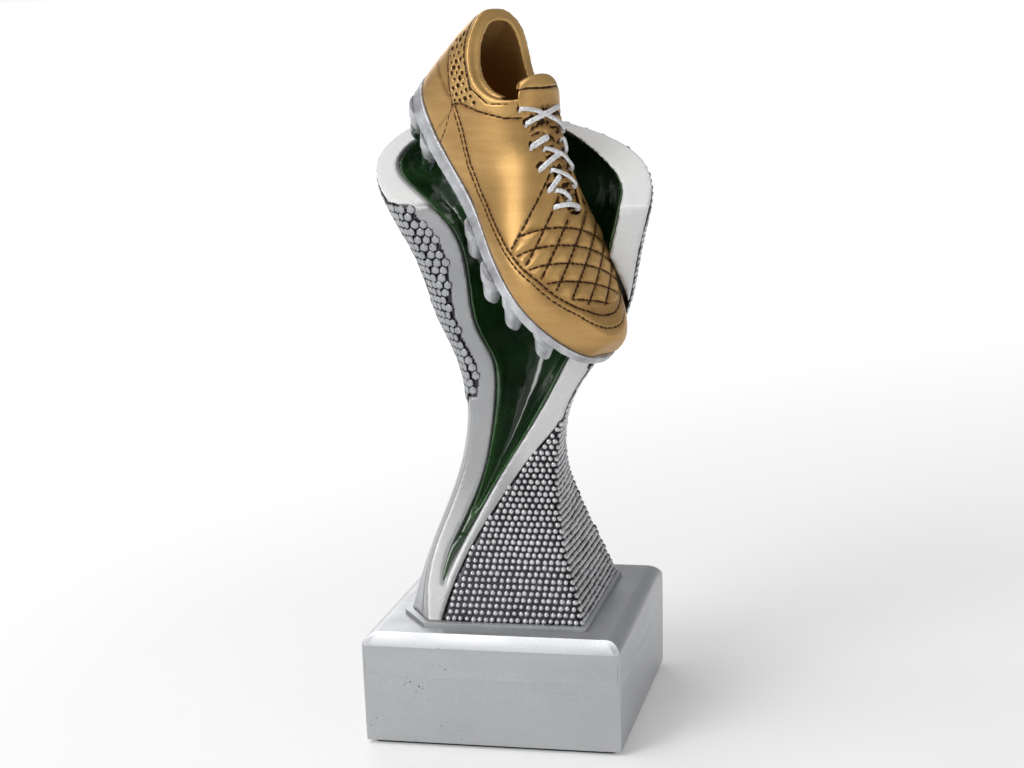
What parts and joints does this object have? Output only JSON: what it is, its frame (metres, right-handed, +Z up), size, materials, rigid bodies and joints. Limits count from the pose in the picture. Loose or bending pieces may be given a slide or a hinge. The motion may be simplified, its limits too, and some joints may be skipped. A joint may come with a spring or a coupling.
{
  "type": "figure trophy",
  "caption": "Football trophy: a gold studded boot resting nose down in the green scoop of a twisted beaded silver column on a block base.",
  "frame": {"origin": "middle of the underside of the base pad, on the surface it stands on", "axes": "+X to the right along the front of the base, +Y to the back, +Z up"},
  "size_m": [0.0732, 0.07, 0.1812],
  "materials": {
    "silver_base": "cast resin, satin silver lacquer with a brushed look",
    "felt": "dark felt",
    "antique_silver": "cast resin, silver lacquer with a dark wash in the beading",
    "pearl": "cast resin, pearl white silver lacquer",
    "green_enamel": "poured glossy green enamel",
    "gold": "cast resin, satin gold lacquer with a brown wash in the grooves",
    "gold_dark": "cast resin, gold lacquer darkened by a brown wash",
    "silver_sole": "cast resin, satin silver lacquer",
    "lace_white": "cast resin, white silver lacquer",
    "steel": "zinc plated steel"
  },
  "bodies": {
    "root": {"base_block": "silver_base", "base_pad": "felt", "foot_flange": "antique_silver", "column_core": "antique_silver", "column_rim": "pearl", "green_lining": "green_enamel", "boot_saddle": "green_enamel", "boot_upper": "gold", "boot_tongue": "gold", "boot_collar": "gold_dark", "boot_insole": "gold_dark", "boot_sole": "silver_sole", "heel_studs": "silver_sole", "forefoot_studs": "silver_sole", "lace_cross_1": "lace_white", "lace_cross_2": "lace_white", "lace_cross_3": "lace_white", "lace_bar": "lace_white", "fixing_stud": "steel", "fixing_washer": "steel", "fixing_nut": "steel", "locating_pin": "steel", "boot_dowels": "steel"}
  },
  "joints": []
}
